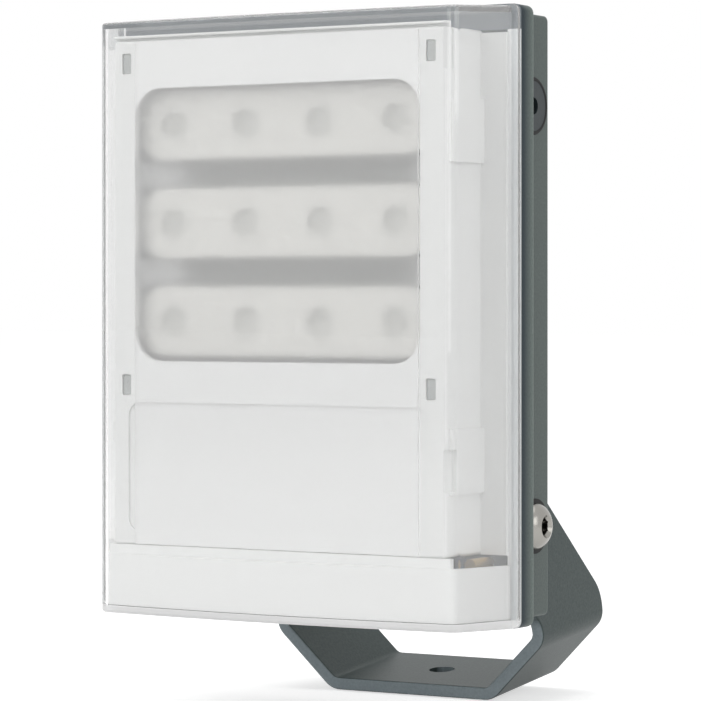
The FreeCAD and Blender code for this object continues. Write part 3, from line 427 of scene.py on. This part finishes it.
# %% Rubber, nylon and electronics
seal_rubber = opaque("epdm_rubber", ("#151616", "#1f2020"), 1.5, 0.01, 0.75)
black_nylon = opaque("black_nylon", ("#1b1c1d", "#26282a"), 1.0, 0.008, 0.5)
grey_acetal = opaque("grey_acetal", ("#9fa2a1", "#a9acab"), 1.0, 0.004, 0.4)
grey_nylon = opaque("grey_nylon", ("#1f282b", "#2c3639"), 1.0, 0.008, 0.48)
component_black = opaque("component_black", ("#121315", "#1b1c1f"), 2.0, 0.003, 0.35)
solder_mask_white = opaque("solder_mask_white", ("#e2e4e1", "#ebece9"), 4.0, 0.002, 0.3)
solder_mask_green = opaque("solder_mask_green", ("#10401f", "#185429"), 4.0, 0.002, 0.3)
terminal_green = opaque("terminal_polyamide_green", ("#1d6b37", "#247a40"), 2.0, 0.004, 0.4)
phosphor = opaque("phosphor_resin", ("#e6d489", "#efe0a0"), 0.4, 0.004, 0.4)
print(f"{len(bpy.data.materials)} materials so far")

# %% [markdown]
# Every carried-over node takes one of these finishes. The list goes by the start of the node's
# name, so both sides and all three rows are covered by one line each.

# %% Finish every node
FINISHES = {
    "front_frame": powder_coat_frame, "rear_housing": powder_coat, "u_bracket": powder_coat_steel,
    "inner_bezel": white_abs_bezel, "bottom_trim": white_abs, "clear_cover": clear_polycarbonate,
    "lens_sheet": frosted_polycarbonate, "lens_strip": satin_acrylic, "light_board": solder_mask_white,
    "led_packages": phosphor, "heat_spreader": milled_aluminium, "driver_board": solder_mask_green,
    "driver_pillars": turned_brass, "driver_choke": component_black, "driver_capacitors": component_black,
    "terminal_block": terminal_green, "brass_post": turned_brass, "cover_seal": seal_silicone,
    "housing_seal": seal_rubber, "gland_seal": seal_rubber, "gland_body": nickel_brass,
    "gland_nut": nickel_brass, "gland_locknut": nickel_brass, "frame_screws": stainless,
    "pivot_bolt": bolt_steel, "pivot_nut": stainless, "pivot_washer": seal_rubber,
    "pivot_spacer": black_nylon, "blanking_plug": grey_nylon,
}


def give(piece, material):
    """Replaces whatever material a piece has."""
    piece.data.materials.clear()
    piece.data.materials.append(material)


for name, node in nodes.items():
    start = next(key for key in FINISHES if name.startswith(key))
    give(node, FINISHES[start])
print("all nodes have a finish")

# %% [markdown]
# The frosted sheet lies flat on the bezel, and the cover's flange on the frame and its seal. Where
# a clear face and a solid face share one plane, a picture can't tell which comes first, so the back
# of the sheet and of the cover each move a hair's breadth forward. Each is a copy of its packed
# mesh, merged into one skin by a Weld modifier. That modifier keeps the order of the faces, so the
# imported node's own normals, which follow the true curves, fit the copy and are put back on it.

# %% A hair of air
AIR = 0.0001
SAME_POINT = 1e-6


def choose(piece, test):
    """Selects the points of a piece that pass a test of their place, ready for an edit."""
    bpy.ops.object.mode_set(mode="EDIT")
    bpy.ops.mesh.select_all(action="DESELECT")
    bpy.ops.object.mode_set(mode="OBJECT")
    for vertex in piece.data.vertices:
        vertex.select = test(vertex.co)
    bpy.ops.object.mode_set(mode="EDIT")


def with_air(node_name, name):
    """Adds a copy of a clear node whose back face stands a hair in front of what carries it."""
    piece = nodes[node_name].copy()
    piece.data = nodes[node_name].data.copy()
    piece.name = name
    bpy.context.collection.objects.link(piece)
    bpy.ops.object.select_all(action="DESELECT")
    piece.select_set(True)
    bpy.context.view_layer.objects.active = piece
    weld = piece.modifiers.new("one_skin", "WELD")
    weld.merge_threshold = SAME_POINT
    bpy.ops.object.modifier_apply(modifier=weld.name)
    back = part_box(node_name)[1][1]
    choose(piece, lambda place: place.y > back - AIR / 10)
    bpy.ops.transform.translate(value=(0, -AIR, 0))
    bpy.ops.object.mode_set(mode="OBJECT")
    packed = [tuple(corner.vector) for corner in nodes[node_name].data.corner_normals]
    kept = len(packed) == len(piece.data.loops)
    if kept:
        piece.data.normals_split_custom_set(packed)
    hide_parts(node_name)
    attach(piece, "lamp_head")
    print(f"{name}: {len(piece.data.vertices)} points, packed shading kept: {kept}")


with_air("clear_cover", "cover_skin")
with_air("lens_sheet", "diffusing_sheet")

# %% [markdown]
# Under the head of each blanking plug sits a rubber ring, which shows as a thin black line round it.
# A torus that is sunk a little into the plug's edge gives just that line.

# %% Plug rings
RING_WIRE = 0.0009


def plug_ring(side, name):
    """Adds a rubber ring round the foot of a blanking plug's head and returns the head's radius."""
    low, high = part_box("blanking_plug_" + name)
    radius = (high[2] - low[2]) / 2
    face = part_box("rear_housing")[1][0]
    bpy.ops.object.select_all(action="DESELECT")
    bpy.ops.mesh.primitive_torus_add(
        major_segments=96, minor_segments=16, major_radius=radius - RING_WIRE / 3, minor_radius=RING_WIRE,
        location=(side * face, (low[1] + high[1]) / 2, (low[2] + high[2]) / 2),
        rotation=(0, math.radians(90), 0))
    piece = bpy.context.object
    piece.name = "plug_ring_" + name
    bpy.ops.object.transform_apply(location=True, rotation=True, scale=True)
    bpy.ops.object.shade_smooth()
    give(piece, seal_rubber)
    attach(piece, "lamp_head")
    return radius


print("plug rings, radius", round(1000 * plug_ring(1, "right"), 2), "and",
      round(1000 * plug_ring(-1, "left"), 2), "mm")

# %% [markdown]
# Small white and grey mouldings only show behind the clear parts. All of them are blocks with
# rounded edges, some with a sloping front, so one function makes them from two corners: a cube at
# its place and size, its inner front edge moved back for the slope, and then a bevel.

# %% Small blocks
INNER_SIDE = 1e-5
SMOOTH_ANGLE = 40


def small_block(name, low, high, slope, rounding, material):
    """A block between two corners. slope moves the front edge of its inner side back."""
    middle = [(a + b) / 2 for a, b in zip(low, high)]
    bpy.ops.object.select_all(action="DESELECT")
    bpy.ops.mesh.primitive_cube_add(size=1, location=middle)
    piece = bpy.context.object
    piece.name = name
    piece.scale = [b - a for a, b in zip(low, high)]
    bpy.ops.object.transform_apply(location=True, rotation=False, scale=True)
    if slope:
        inner = min(abs(low[0]), abs(high[0])) + INNER_SIDE
        choose(piece, lambda place: abs(place.x) < inner and place.y < middle[1])
        bpy.ops.transform.translate(value=(0, slope, 0))
        bpy.ops.object.mode_set(mode="OBJECT")
    choose(piece, lambda place: True)
    bpy.ops.mesh.select_mode(type="EDGE")
    bpy.ops.mesh.bevel(offset=rounding, segments=4, affect="EDGES")
    bpy.ops.mesh.select_mode(type="VERT")
    bpy.ops.object.mode_set(mode="OBJECT")
    bpy.ops.object.shade_smooth_by_angle(angle=math.radians(SMOOTH_ANGLE))
    give(piece, material)
    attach(piece, "lamp_head")


print("blocks are smoothed below", SMOOTH_ANGLE, "degrees")

# %% [markdown]
# The bezel ends at the top in a bead. Its lip juts forwards over a groove, 1 mm high, which shows
# as a fine shadow line. The bead starts a little inside the bezel, and the lip a little inside the
# bead, so no slit of light is left between them.

# %% Bezel bead
BEAD_REACH, BEAD_TOP, BEAD_BACK = 0.0732, 0.0020, 0.0014
GROOVE_RISE, GROOVE_DEPTH = 0.0010, 0.0022
bezel_low, bezel_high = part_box("inner_bezel")
bead_front = bezel_low[1] + GROOVE_DEPTH
small_block("bezel_top_bead", (-BEAD_REACH, bead_front, bezel_high[2] - 0.0001),
            (BEAD_REACH, bead_front + BEAD_BACK, bezel_high[2] + BEAD_TOP),
            0, 0.0002, white_abs)
small_block("bezel_top_lip", (-BEAD_REACH, bezel_low[1], bezel_high[2] + GROOVE_RISE),
            (BEAD_REACH, bead_front + 0.0002, bezel_high[2] + BEAD_TOP),
            0, 0.0003, white_abs)
print("bead", round(2000 * BEAD_REACH, 1), "mm long, groove", round(1000 * GROOVE_RISE, 1), "mm high")

# %% [markdown]
# In each of the bezel's four slots lies the grey nose of a latch. Its grey is also a painted shade
# for the slot's recess. A white wall stands at each end of the lens rows, and between the rows white
# wedges fall away from it towards the middle, so each dark gap fades out at its ends.

# %% Latch noses, end walls and wedges
SLOT_REACH, SLOT_FLOOR = 0.0671, 0.0012
SLOT_HEIGHTS = (("upper", 0.24656), ("lower", 0.12316))
LATCH = (0.0038, 0.0005, 0.0074)
WEDGE_REACH, WEDGE_RISE, WEDGE_SLOPE = (0.0500, 0.0664), 0.0115, 0.85
END_WALL, END_WALL_LEAD = (0.0666, 0.0710), 0.0015
ROW_GAP = 0.0003
slot_back = bezel_low[1] + SLOT_FLOOR
spreader_low, spreader_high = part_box("heat_spreader")
board_front = spreader_low[1]
for side, side_name in ((1, "right"), (-1, "left")):
    for row_name, height in SLOT_HEIGHTS:
        x = side * SLOT_REACH
        # Grey latch noses: their grey is partly painted shade of the slots.
        small_block(f"latch_nose_{row_name}_{side_name}",
                    (x - LATCH[0] / 2, slot_back - LATCH[1], height - LATCH[2] / 2),
                    (x + LATCH[0] / 2, slot_back, height + LATCH[2] / 2),
                    0, 0.0002, grey_acetal)
    walls = sorted(side * v for v in END_WALL)
    small_block("row_end_wall_" + side_name,
                (walls[0], board_front - WEDGE_RISE - END_WALL_LEAD, spreader_low[2]),
                (walls[1], board_front, spreader_high[2]),
                0, 0.0004, white_abs)
    reach = sorted(side * v for v in WEDGE_REACH)
    for above, below in (("upper", "middle"), ("middle", "lower")):
        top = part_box("lens_strip_" + above)[0][2] - ROW_GAP
        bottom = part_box("lens_strip_" + below)[1][2] + ROW_GAP
        small_block(f"row_wedge_{above}_{side_name}",
                    (reach[0], board_front - WEDGE_RISE, bottom), (reach[1], board_front, top),
                    WEDGE_RISE * WEDGE_SLOPE, 0.0003, white_abs)
print("4 latch noses, 2 end walls and 4 row wedges")

# %% [markdown]
# The stage: a wide white floor under the bracket's lowest edge and a white world. What the camera,
# a reflection or a clear plastic sees of them is plain white, while the light that they send to
# the lamp stays soft and even. The floor keeps the lamp's shadow, so it reflects light as paint
# does and adds a glow only for rays that show it to the eye.

# %% Floor
SEEN_RAYS = ("Is Camera Ray", "Is Glossy Ray", "Is Transmission Ray")
FLOOR_WIDTH, FLOOR_GAP, FLOOR_GLOW = 24, 0.0003, 0.6


def seen(holder):
    """1 for rays that show the surface to the eye, 0 for those that only carry light."""
    path = add_node(holder, "ShaderNodeLightPath")
    total = path.outputs[SEEN_RAYS[0]]
    for name in SEEN_RAYS[1:]:
        total = add_node(holder, "ShaderNodeMath", {0: total, 1: path.outputs[name]},
                         operation="MAXIMUM").outputs[0]
    return total


floor_white = new_material("studio_floor")
paint = add_node(floor_white, "ShaderNodeBsdfDiffuse", {"Color": linear("#e4e4e4")})
strength = add_node(floor_white, "ShaderNodeMath", {0: seen(floor_white), 1: FLOOR_GLOW},
                    operation="MULTIPLY")
glow = add_node(floor_white, "ShaderNodeEmission", {
    "Color": (1, 1, 1, 1), "Strength": strength.outputs[0]})
close(floor_white, add_node(floor_white, "ShaderNodeAddShader", {
    0: paint.outputs[0], 1: glow.outputs[0]}))

bpy.ops.object.select_all(action="DESELECT")
bpy.ops.mesh.primitive_plane_add(size=FLOOR_WIDTH, location=(0, 0, cad_box[0][2] - FLOOR_GAP))
floor = bpy.context.object
floor.name = "studio_floor"
give(floor, floor_white)
print("floor at", round(1000 * floor.location.z, 2), "mm")

# %% [markdown]
# The world is the same white for the eye, and half as bright for the light that it casts on the
# lamp. Half is enough to keep the shaded sides readable beside the softboxes.

# %% World
AMBIENT = 0.52
world = bpy.data.worlds.new("studio")
bpy.context.scene.world = world
world.use_nodes = True
world.node_tree.nodes.clear()
white = add_node(world, "ShaderNodeMapRange", {"Value": seen(world), "To Min": AMBIENT, "To Max": 1.0})
sky = add_node(world, "ShaderNodeBackground", {"Color": (1, 1, 1, 1), "Strength": white.outputs[0]})
add_node(world, "ShaderNodeOutputWorld", {"Surface": sky.outputs[0]})
print("world casts", AMBIENT, "of its white")

# %% [markdown]
# Studio light: one wide softbox from the left of the camera, a low one in front for the edges of
# the bracket, a weak one from the right for the dark side, and a soft top light. Large lamps give
# the soft shadow edges of a product picture.

# %% Lamps
LIT_POINT = Vector((0, -0.1, 0.15))


def softbox(name, place, width, power):
    """Adds a square lamp that faces the middle of the object."""
    data = bpy.data.lights.new(name, "AREA")
    data.size = width
    data.energy = power
    lamp = bpy.data.objects.new(name, data)
    bpy.context.collection.objects.link(lamp)
    lamp.location = place
    lamp.rotation_euler = (LIT_POINT - Vector(place)).to_track_quat("-Z", "Y").to_euler()


softbox("key", (-0.9, -1.6, 1.3), 1.2, 8.5)
softbox("front", (0.35, -1.9, 0.5), 0.8, 2.5)
softbox("fill", (1.7, -0.7, 0.8), 1.0, 4.5)
softbox("top", (0.1, -0.2, 1.9), 1.2, 9)
print("four softboxes")

# %% [markdown]
# The camera stands where the photograph was taken: 31 degrees to the right of the lamp's front,
# level, 1.2 m away, with a long lens. The picture was framed lower than the lens's axis, which is
# a shift and not a tilt, so uprights stay upright.

# %% Camera
CAMERA_PLACE, CAMERA_TURN = (0.6505, -1.1569, 0.15568), 30.97
camera_data = bpy.data.cameras.new("camera")
camera_data.sensor_width = 36
camera_data.lens = 166.9
camera_data.shift_y = -0.0719
camera = bpy.data.objects.new("camera", camera_data)
bpy.context.collection.objects.link(camera)
camera.location = CAMERA_PLACE
camera.rotation_euler = (math.radians(90), 0, math.radians(CAMERA_TURN))
bpy.context.scene.camera = camera
bpy.context.scene.view_settings.view_transform = "Standard"
print("camera", tuple(round(v, 3) for v in camera.location))
